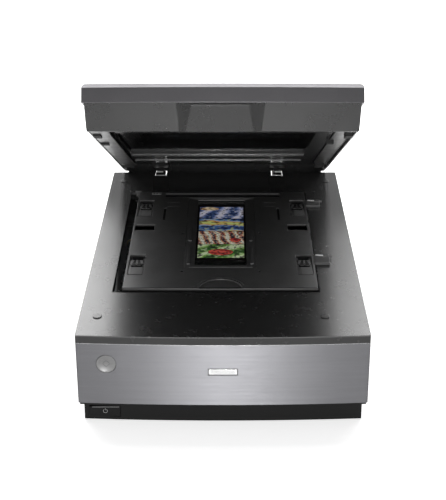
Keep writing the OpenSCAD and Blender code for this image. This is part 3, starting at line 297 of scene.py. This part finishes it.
def picture(name, stops, seed, scale):
    """A frame of colour film: soft abstract patches of light and colour, with fine grain and a faint painted glow.
    """
    g = Graph(name)
    warp = g.noise(scale * 0.7, 3, 0.5, (1, 1, 1), (seed, seed * 0.7, seed * 1.3))
    waves = g.add("TexWave", {"Vector": g.position((1, 1, 1), (0, 0, seed)), "Scale": scale * 0.12,
                              "Distortion": 6.0, "Detail": 1.0, "Detail Scale": 1.0})
    field = g.math("ADD", g.math("MULTIPLY", warp, 0.6), g.math("MULTIPLY", waves.outputs["Fac"], 0.4))
    tone = g.ramp(field, [(place, (*colour, 1)) for place, colour in stops])
    spots = g.noise(scale * 1.8, 1.5, 0.5, (1, 1, 1), (0, seed, 0))
    lit = g.mix(g.remap(spots, 0.56, 0.66, 0.0, 0.6), tone, (*stops[-1][1], 1))
    dark = g.mix(g.remap(spots, 0.46, 0.38, 0.0, 0.85), lit, (0.01, 0.01, 0.02, 1))
    g.principled(Base_Color=g.mix(g.noise(5200, 1), dark, g.mix(0.12, dark, (0.5, 0.5, 0.5, 1))))
    g.principled(Roughness=g.remap(g.noise(150, 3), 0.3, 0.7, 0.12, 0.22))
    # painted glow: the film is no lamp but gives off faint light in its own colours
    g.principled(Emission_Color=dark, Emission_Strength=0.25)
    return g.material


MATERIALS = {
    "case_black": moulded("case_black", grey(0.006), 0.5, wear_and_highlight=0.2, specular=0.12),
    "deck_graphite": deck_material("deck_graphite"),
    "panel_silver": brushed("panel_silver", grey(0.185, (1, 1, 1.05)), 0.46, anisotropic=0.92, spread=0.08),
    "platen_glass": clear("platen_glass", (0.80, 0.86, 0.85, 1), 0.02),
    "lid_glass": clear("lid_glass", (0.45, 0.46, 0.47, 1), 0.02, ior=1.08),
    "support_glass": clear("support_glass", (0.9, 0.93, 0.93, 1), 0.12),
    "rubber_black": moulded("rubber_black", grey(0.012), 0.75, grain=1600, wear_and_highlight=0.1, specular=0.3),
    "bumper_grey": moulded("bumper_grey", grey(0.05), 0.25, specular=0.6),
    "steel": metal("steel", grey(0.62), 0.25),
    "chrome": metal("chrome", grey(0.86), 0.14, dark_behind=(HINGE.y - 0.0054, HINGE.y - 0.0049)),
    "zinc_plate": metal("zinc_plate", grey(0.50, (1, 1, 1.03)), 0.38, grain=500),
    "board_green": board("board_green"),
    "socket_black": moulded("socket_black", grey(0.012), 0.5),
    "white_plastic": moulded("white_plastic", (0.74, 0.73, 0.69, 1), 0.45, wear_and_highlight=0.0),
    "lamp_white": lamp("lamp_white"),
    "bronze": metal("bronze", (0.55, 0.36, 0.16, 1), 0.4),
    "brass": metal("brass", (0.72, 0.56, 0.26, 1), 0.3),
    "mirror": metal("mirror", grey(0.93), 0.03),
    "lens_black": metal("lens_black", grey(0.04), 0.35),
    "button_grey": brushed("button_grey", grey(0.17), 0.34),
    "cap_grey": painted("cap_grey", grey(0.125, (1, 0.98, 1.03)), 0.36),
    # the span along Y where the skirt's inner rear is darkened to near black as painted shade
    "skirt_graphite": painted("skirt_graphite", grey(0.19), 0.28, metallic=0.8,
                              painted_shade_span=(0.222, 0.232)),
    "underside_graphite": moulded("underside_graphite", grey(0.020), 0.20, wear_and_highlight=0.4, specular=0.8,
                                  grain_depth=0.006),
    "holder_graphite": moulded("holder_graphite", grey(0.062), 0.42, grain=1500, wear_and_highlight=0.3, radius=0.4,
                               specular=1.0, grain_depth=0.02),
    "film": moulded("film", (0.012, 0.008, 0.008, 1), 0.22, wear_and_highlight=0.0, grain_depth=0.003),
    "tab_grey": moulded("tab_grey", grey(0.12), 0.14, wear_and_highlight=0.8, specular=0.9),
}

DETAIL = {
    "border_graphite": moulded("border_graphite", grey(0.020), 0.34, wear_and_highlight=0.3, grain_depth=0.004),
    "ink_black": moulded("ink_black", grey(0.006), 0.5, wear_and_highlight=0.0, specular=0.2),
    "ink_grey": moulded("ink_grey", grey(0.20), 0.45, wear_and_highlight=0.0),
    "ink_dark": moulded("ink_dark", grey(0.08), 0.4, wear_and_highlight=0.0),
    "badge_metal": brushed("badge_metal", grey(0.80), 0.22, fine=4000),
    "print_white": moulded("print_white", grey(0.62), 0.5, wear_and_highlight=0.0),
    "holder_light": moulded("holder_light", grey(0.14), 0.40, grain=1500, wear_and_highlight=0.6, radius=0.3),
    "shadow_grey": moulded("shadow_grey", grey(0.045), 0.35, wear_and_highlight=0.6, radius=0.3),
    # bright white used only for painted highlights on the hooks and hinges
    "highlight_white": moulded("highlight_white", grey(0.85), 0.12, wear_and_highlight=0.0, specular=0.9),
}

# the film's pictures: a name, the stops of its colours, a seed for its shapes and their scale
PICTURES = (
    ("frame_dusk", [(0.30, (0.02, 0.05, 0.16)), (0.45, (0.10, 0.18, 0.45)),
                    (0.58, (0.42, 0.48, 0.78)), (0.70, (0.85, 0.83, 0.95))], 0.4, 120),
    ("frame_sea", [(0.28, (0.03, 0.07, 0.25)), (0.42, (0.12, 0.28, 0.60)), (0.52, (0.45, 0.60, 0.80)),
                   (0.60, (0.80, 0.35, 0.06)), (0.72, (0.72, 0.78, 0.25))], 1.7, 90),
    ("frame_crowd", [(0.30, (0.05, 0.04, 0.05)), (0.42, (0.55, 0.10, 0.06)),
                     (0.52, (0.85, 0.62, 0.32)), (0.64, (0.92, 0.88, 0.75))], 2.9, 210),
    ("frame_shade_plate", [(0.30, (0.03, 0.10, 0.02)), (0.44, (0.16, 0.40, 0.06)),
                     (0.55, (0.42, 0.65, 0.20)), (0.66, (0.75, 0.88, 0.55))], 4.1, 110),
    ("frame_red", [(0.35, (0.35, 0.02, 0.02)), (0.60, (0.80, 0.12, 0.08))], 5.0, 160),
    ("frame_tip", [(0.35, (0.55, 0.30, 0.12)), (0.60, (1.0, 0.80, 0.50))], 6.0, 140),
)
DETAIL.update({name: picture(name, stops, seed, scale) for name, stops, seed, scale in PICTURES})

# widths in millimetres of the bevels on the shells that show
BEVELS = {"upper_cover": 1.0, "front_panel": 0.5, "lid_cap": 0.6, "lid_skirt": 0.5, "base_tray": 0.4,
          "holder_frame": 0.35, "holder_cover": 0.25, "power_button": 0.4, "start_button": 0.3}


def dress_nodes():
    """Gives every CAD node its slot's material, and softens the sharp edges of the shells that show."""
    for part in frame["record"]["subparts"]:
        node = NODES[part["node"]]
        node.data.materials.clear()
        node.data.materials.append(MATERIALS[part["material_slot"]])
        width = BEVELS.get(part["node"])
        if width:
            weld = node.modifiers.new("weld", "WELD")
            weld.merge_threshold = 0.01 * MM
            flats = node.modifiers.new("flats", "DECIMATE")
            flats.decimate_type = "DISSOLVE"
            flats.angle_limit = math.radians(0.3)
            soften(node, width)
            node.modifiers.new("normals", "WEIGHTED_NORMAL").weight = 100


def soften(obj, width):
    """Bevels the sharp edges by a width in millimetres."""
    bevel = obj.modifiers.new("bevel", "BEVEL")
    bevel.width = width * MM
    bevel.segments = 2
    bevel.limit_method = "ANGLE"
    bevel.angle_limit = math.radians(35)
    bevel.use_clamp_overlap = True


# ---- Pieces ----

def rounded_rect(x0, x1, y0, y1, r=0.6, steps=4):
    """Outline of a rectangle with rounded corners, counter-clockwise."""
    r = min(r, (x1 - x0) / 2, (y1 - y0) / 2)
    outline = []
    corners = ((x1 - r, y1 - r, 0), (x0 + r, y1 - r, 90), (x0 + r, y0 + r, 180), (x1 - r, y0 + r, 270))
    for cx, cy, start in corners:
        for i in range(steps + 1):
            a = math.radians(start + 90 * i / steps)
            outline.append((cx + r * math.cos(a), cy + r * math.sin(a)))
    return outline


def arc_band(cx, cy, inner, outer, start, end, steps=40):
    """Outline of part of a ring between two angles in degrees."""
    angles = [math.radians(start + (end - start) * i / steps) for i in range(steps + 1)]
    outside = [(cx + outer * math.cos(a), cy + outer * math.sin(a)) for a in angles]
    inside = [(cx + inner * math.cos(a), cy + inner * math.sin(a)) for a in reversed(angles)]
    return outside + inside


def ellipse(cx, cy, rx, ry, steps=36):
    angles = [2 * math.pi * i / steps for i in range(steps)]
    return [(cx + rx * math.cos(a), cy + ry * math.sin(a)) for a in angles]


def slab(x0, x1, y0, y1, low, high, r=0.6):
    """One part for prisms: a rectangle with rounded corners, between two heights."""
    return rounded_rect(x0, x1, y0, y1, r), low, high


def prisms(name, parts, material, body, place=CASE_FRAME, bevel=0.12):
    """One piece made of prisms: each part is (outline, low, high), in millimetres in place's frame."""
    bm = bmesh.new()
    for outline, low, high in parts:
        bottom = [bm.verts.new((x, y, low)) for x, y in outline]
        top = [bm.verts.new((x, y, high)) for x, y in outline]
        bm.faces.new(list(reversed(bottom)))
        bm.faces.new(top)
        n = len(outline)
        for i in range(n):
            bm.faces.new((bottom[i], bottom[(i + 1) % n], top[(i + 1) % n], top[i]))
    bmesh.ops.recalc_face_normals(bm, faces=bm.faces)
    bm.transform(place)
    mesh = bpy.data.meshes.new(name)
    bm.to_mesh(mesh)
    bm.free()
    mesh.materials.append(DETAIL.get(material) or MATERIALS[material])
    obj = bpy.data.objects.new(name, mesh)
    bpy.context.scene.collection.objects.link(obj)
    if bevel:
        soften(obj, bevel)
    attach(obj, body)
    return obj


def upright(x, depth, z):
    """Frame on the front: x right, y up, z out of the face, with its origin depth behind the corners."""
    origin = Matrix.Translation((x * MM, FRONT + depth * MM, z * MM))
    return origin @ Matrix.Rotation(math.radians(90), 4, "X") @ Matrix.Scale(MM, 4)


def bow_at(x):
    """How far the bowed front reaches behind the line of its corners, at x: negative is in front."""
    return -BOW * (1 - (x / HALF_WIDTH) ** 2)


def front_details():
    """Plain badge, a painted highlight strip along the panel's top edge, the start and power buttons' symbols, and
    a painted highlight bar on the power button.
    """
    place = upright(0, bow_at(0) + 0.7, BADGE_Z)
    prisms("badge_plate", [slab(-15.7, 15.7, -3.9, 3.9, 0, 0.45)], "ink_dark", "case", place)
    prisms("badge_face", [slab(-14.8, 14.8, -3, 3, 0.4, 0.6, r=0.5)], "badge_metal", "case", place, 0.1)
    grooves = [slab(-12.6, 12.6, z - 0.25, z + 0.25, 0.55, 0.64, r=0.2) for z in (-1.1, 1.1)]
    prisms("badge_grooves", grooves, "ink_grey", "case", place, 0)

    # painted highlight: a bright metal strip along the panel's top edge, standing for the light its chamfer
    # catches
    reach = HALF_WIDTH - 1.4
    steps = 60
    xs = [reach * (2 * i / steps - 1) for i in range(steps + 1)]
    edge = [(x, bow_at(x) + 0.05) for x in xs] + [(x, bow_at(x) + 0.9) for x in reversed(xs)]
    prisms("panel_edge_highlight", [(edge, 95.3, 95.75)], "badge_metal", "case", bevel=0.1)

    x, z = START_PLACE
    face = (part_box("start_button")[0].y - FRONT) / MM + 1.05
    diamond = [(0, 4.2), (-4.2, 0), (0, -4.2), (4.2, 0)]
    inner = [(0.8 * a, 0.8 * b) for a, b in diamond]
    strokes = [([diamond[i - 1], diamond[i], inner[i], inner[i - 1]], 0, 0.12) for i in range(4)]
    prisms("start_symbol", strokes, "ink_dark", "start_button", upright(x, face, z), 0)
    ring = (arc_band(0, 0, 10.4, 11.0, 0, 360), -0.4, 0.03)
    prisms("start_outline", [ring], "ink_dark", "case", upright(x, bow_at(x) + 0.02, z), 0)

    face = (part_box("power_button")[0].y - FRONT) / MM
    ring = (arc_band(0, 0, 1.9, 2.5, 125, 415), -0.1, 0.08)
    stroke = slab(-0.3, 0.3, 0.9, 3.2, -0.1, 0.08, r=0.2)
    prisms("power_symbol", [ring, stroke], "ink_grey", "power_button", upright(-126.0, face, 11.8), 0)
    # painted highlight: a light grey bar along the power button's top edge, where light would catch it
    light = slab(-13.4, 15.6, -0.3, 0.3, -0.2, 0.06, r=0.25)
    prisms("power_edge_highlight", [light], "ink_grey", "power_button", upright(-126.5, face, 16.7), 0.05)


def holder_details():
    """Blank label, marks, slot floors and a latch on the film holder, and rims on its cover."""
    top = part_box("holder_frame")[1].z / MM
    prisms("holder_label", [slab(-96, -83.5, 391, 397.5, top - 0.05, top + 0.12)], "print_white", "holder")
    starts = [-94.6 + 4 * i for i in range(3)]
    dashes = [slab(x, x + 3, 392.6, 395.8, top + 0.1, top + 0.18, r=0.3) for x in starts]
    prisms("label_dashes", dashes, "ink_dark", "holder", bevel=0)

    for side, name in ((-1, "left"), (1, "right")):
        x = HOLDER_X + side * 72.5
        mark = slab(x - 1.4, x + 1.4, 304.4, 343.6, top - 0.8, top - 0.5, r=0.5)
        prisms("guide_mark_" + name, [mark], "ink_black", "holder")
        x0, x1 = sorted((x - side * 2.2, x - side * 17.6))
        ticks = [slab(x0, x1, y, y + 2, top - 0.7, top + 0.06, r=0.4) for y in (348.2, 362.2)]
        prisms("tick_bars_" + name, ticks, "holder_light", "holder")

    line = slab(HOLDER_X - 108.1, HOLDER_X + 108.1, 107.2, 108.4, top - 0.05, top + 0.04, r=0.3)
    prisms("holder_front_line", [line], "ink_black", "holder", bevel=0)
    notch = (arc_band(-3.2, 107, 24.2, 26.9, 3, 177), top - 0.62, top - 0.35)
    prisms("notch_line", [notch], "ink_black", "holder")
    for name, x in (("slot_floor_left", -98.5), ("slot_floor_right", 91.2)):
        floor = slab(x - 11.9, x + 11.9, 269.2, 277.5, top - 3.2, top - 2.4, r=0.4)
        prisms(name, [floor], "holder_graphite", "holder")
    latch = [slab(-118.5, -110.6, 401.5, 404.3, top - 2.4, top + 0.1),
             slab(-116.5, -112.6, 391, 402, top - 2.4, top - 0.4)]
    prisms("corner_latch", latch, "holder_light", "holder")

    # bars before and behind the cover's window: half their length, front and depth
    cover_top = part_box("holder_cover")[1].z / MM
    rims = [slab(HOLDER_X - half, HOLDER_X + half, y, y + depth, cover_top - 1.0, cover_top - 0.5, r=0.3)
            for half, y, depth in ((36.5, 162, 1.2), (38.5, 375.6, 1.0))]
    prisms("cover_rims", rims, "holder_light", "film_cover")


def adjuster_details():
    """Pointer, double knob and grooved plate on each height adjuster, with a black plate painted as the shade in
    each pocket's rear.
    """
    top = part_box("holder_frame")[1].z / MM
    floor = top - 1.4
    for side, x in (("left", -101.2), ("right", 94.0)):
        for end, y in (("front", 142), ("rear", 316)):
            body = "adjuster_%s_%s" % (end, side)
            # painted shade: a thin black plate in the rear of the pocket, where its rear edge shades it
            field = slab(x - 8.6, x + 8.6, y + 30.4, y + 42, floor, floor + 0.25, r=0.4)
            prisms(body + "_shade_plate", [field], "ink_black", body)
            cheeks = [([(x + s * 8, y + 31), (x + s * 5.2, y + 31), (x + s * 3.2, y + 41.6),
                        (x + s * 6.2, y + 41.6)], floor + 0.1, floor + 0.8) for s in (-1, 1)]
            prisms(body + "_cheeks", cheeks, "holder_light", body)
            collar = slab(x - 6.6, x + 6.6, y + 23.4, y + 30.6, floor, top + 0.2, r=2.6)
            knobs = [slab(x + s - 2.6, x + s + 2.6, y + 24.4, y + 29.6, top, top + 0.9, r=2.4)
                     for s in (-3.2, 3.2)]
            prisms(body + "_knobs", [collar] + knobs, "ink_black", body)
            plate = [slab(x - 8.2, x - 5.0, y + 2, y + 20.5, floor + 0.1, top - 0.3, r=0.4),
                     slab(x - 4.2, x + 8.2, y + 2, y + 20.5, floor + 0.1, top + 0.05, r=0.4)]
            prisms(body + "_plate", plate, "holder_light", body)


def film_details():
    """Four frames of film between dark borders, with three patches of colour, in the holder's window."""
    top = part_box("film_strip")[1].z / MM
    half = 27.8
    for i, name in enumerate(("frame_shade_plate", "frame_crowd", "frame_sea", "frame_dusk")):
        y = 193.6 + i * 40
        picture_area = slab(HOLDER_X - half, HOLDER_X + half, y, y + 38.6, top - 0.1, top + 0.06, r=0.4)
        prisms(name, [picture_area], name, "holder", bevel=0)
    for name, look, outline in (("frame_red_patch", "frame_red", ellipse(-4, 210, 15, 9)),
                                ("frame_red_spot", "frame_red", ellipse(14, 246, 7, 6)),
                                ("frame_tip_patch", "frame_tip", ellipse(-19, 346, 12, 5.5))):
        prisms(name, [(outline, top, top + 0.09)], look, "holder", bevel=0)


def tab_details():
    """Bright white lips on the rear of the holder's two edge hooks, painted highlights where their curled ends
    catch the light.
    """
    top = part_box("holder_tabs")[1].z / MM
    for name, y in (("tab_highlight_front", 195), ("tab_highlight_rear", 369)):
        # painted highlight: a bright white lip where the hook's curled rear end catches the light
        lip = [(108, y - 0.2), (121, y - 0.4), (123.4, y - 1.4), (122.5, y - 4.8), (108, y - 1.2)]
        prisms(name, [(lip, top - 1.6, top - 0.3)], "highlight_white", "holder", bevel=0.3)


def lid_details():
    """Brackets under the lid's cover that show faintly through its window, clear above the lamp unit."""
    low = 34

    def block(x0, x1, near, far, height):
        """A block between two distances from the hinge."""
        return slab(x0, x1, -far, -near, low, low + height, r=0.8)

    arm = [([(-12, -258), (-6, -258), (-1, -204), (-7, -204)], low, low + 2.5),
           (ellipse(-10, -258, 5, 5), low, low + 4)]
    ribs = [block(10 + 9 * i, 12 + 9 * i, 214, 258, 5) for i in range(4)]
    clips = [block(49, 60, 248, 258, 5), block(68, 78, 248, 258, 5)]
    ring = [(arc_band(88, -250, 4, 7, 0, 350), low, low + 4)]
    beams = [block(-96, 98, 150, 152, 10), block(-96, 98, 175, 177, 10)]
    for name, parts, look, bevel in (("box", [block(-98, -76, 240, 258, 8)], "ink_grey", 0.4),
                                     ("arm", arm, "ink_grey", 0.4),
                                     ("ribs", ribs, "shadow_grey", 0.3),
                                     ("clips", clips, "ink_grey", 0.3),
                                     ("ring", ring, "ink_grey", 0.2),
                                     ("beams", beams, "shadow_grey", 0.3)):
        prisms("lid_inner_" + name, parts, look, "lid", LID_FRAME, bevel)


def lid_borders():
    """Smooth rails down both sides of the lid's underside."""
    for side, x, z in (("left", -129.0, 6.3), ("right", 129.0, 9.2)):
        rail = slab(x - 9.8, x + 9.8, -440, -66, z, z + 1.2, r=1.5)
        prisms("lid_border_" + side, [rail], "border_graphite", "lid", LID_FRAME, 0.4)


def hinge_details():
    """Painted highlight: a bright bar across the foot of each hinge arm, where the light catches it."""
    # painted highlight: bright white bars standing for the lit hinge knuckles
    bar = slab(-HINGE_ARM_HALF, HINGE_ARM_HALF, -1, 1, -0.2, 0.5, r=0.3)
    for name, x in (("hinge_highlight_left", -89.9), ("hinge_highlight_right", 73.9)):
        place = LID_FRAME @ Matrix.Translation((x, -4.0, 2.9)) @ Matrix.Rotation(math.radians(90), 4, "X")
        prisms(name, [bar], "highlight_white", "lid", place, 0.15)


def rear_details():
    """Blank rating plate and vent grooves on the rear wall, and a plain label under the base."""
    wall = Matrix.Translation((0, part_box("upper_cover")[1].y, 0))
    place = wall @ Matrix.Rotation(math.radians(-90), 4, "X") @ Matrix.Scale(MM, 4)
    starts = [-132 + 5 * i for i in range(9)]
    grooves = [slab(x, x + 2.4, -52, -34, -0.4, 0.05, r=1.1) for x in starts]
    prisms("rear_vents", grooves, "ink_black", "case", place, 0)
    prisms("rear_label", [slab(72, 118, -50, -34, -0.1, 0.08, r=1.5)], "ink_grey", "case", place, 0)
    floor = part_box("base_tray")[0].z / MM
    label = slab(-70, 0, 300, 345, floor - 0.12, floor + 0.1, r=2)
    prisms("base_label", [label], "ink_grey", "case", bevel=0)


# ---- Light, floor and camera ----

def surroundings():
    """A grey room that is brightest straight ahead of the front and dark to its left and right."""
    world = bpy.data.worlds.new("studio")
    world.use_nodes = True
    g = Nodes(world.node_tree)
    direction = g.add("SeparateXYZ", {0: g.add("TexCoord").outputs["Generated"]}).outputs
    ahead = g.ramp(g.math("ABSOLUTE", direction["X"]),
                   ((0.0, grey(1.0)), (0.10, grey(0.85)), (0.22, grey(0.30)), (0.34, grey(0.10)),
                    (0.7, grey(0.22))))
    low = g.remap(direction["Z"], 0.12, 0.45, 1.0, 0.3)
    behind = g.remap(direction["Y"], -0.1, 0.3, 0.0, 1.0)
    background = world.node_tree.nodes["Background"].inputs
    g.put(background["Color"], g.mix(behind, g.mix(1.0, ahead, low, "MULTIPLY"), grey(0.30)))
    g.put(background["Strength"], 1.3)
    return world


def studio():
    """Pale plain floor in a soft studio light."""
    scene = bpy.context.scene
    scene.view_settings.view_transform = "Standard"
    scene.world = surroundings()

    reach = 30.0
    mesh = bpy.data.meshes.new("floor")
    corners = [(-reach, -reach, 0), (reach, -reach, 0), (reach, reach, 0), (-reach, reach, 0)]
    mesh.from_pydata(corners, [], [(0, 1, 2, 3)])
    floor = bpy.data.objects.new("floor", mesh)
    scene.collection.objects.link(floor)
    g = Graph("floor_white")
    g.principled(Base_Color=g.mix(g.noise(2, 2), grey(0.90), grey(0.92)))
    g.principled(Roughness=0.8, Specular_IOR_Level=0.1)
    g.principled(Emission_Color=(1, 1, 1, 1), Emission_Strength=0.70)
    mesh.materials.append(g.material)

    softbox("top_light", (0.0, 0.75, 1.9), (0, -0.1, 0.3), (1.6, 0.6), 25)
    softbox("front_light", (0.0, -2.2, 0.22), (0, -0.2, 0.08), (0.16, 0.4), 22)
    softbox("left_light", (-0.78, 1.15, 0.80), (-0.1, -0.1, 0.1), (1.1, 0.9), 15)
    softbox("right_light", (0.80, 1.15, 0.80), (0.1, -0.1, 0.1), (1.1, 0.9), 12)


def softbox(name, place, target, size, power):
    """A rectangular area light turned to its target, with its power in watts."""
    data = bpy.data.lights.new(name, "AREA")
    data.shape = "RECTANGLE"
    data.size, data.size_y = size
    data.energy = power
    light = bpy.data.objects.new(name, data)
    light.location = place
    light.rotation_mode = "QUATERNION"
    light.rotation_quaternion = (Vector(target) - Vector(place)).to_track_quat("-Z", "Y")
    bpy.context.scene.collection.objects.link(light)


def camera():
    """The photo's view: from in front and above."""
    tilt = math.radians(24.11)
    data = bpy.data.cameras.new("camera")
    data.sensor_width = 36
    data.lens = 88.8
    data.shift_x = -0.0142
    data.clip_end = 50
    eye = bpy.data.objects.new("camera", data)
    eye.location = (0.00753, FRONT - 1.13177, 0.70841)
    eye.rotation_euler = (math.radians(90) - tilt, 0, 0)
    bpy.context.scene.collection.objects.link(eye)
    bpy.context.scene.camera = eye


dress_nodes()
front_details()
holder_details()
adjuster_details()
film_details()
tab_details()
lid_details()
lid_borders()
hinge_details()
rear_details()
studio()
camera()
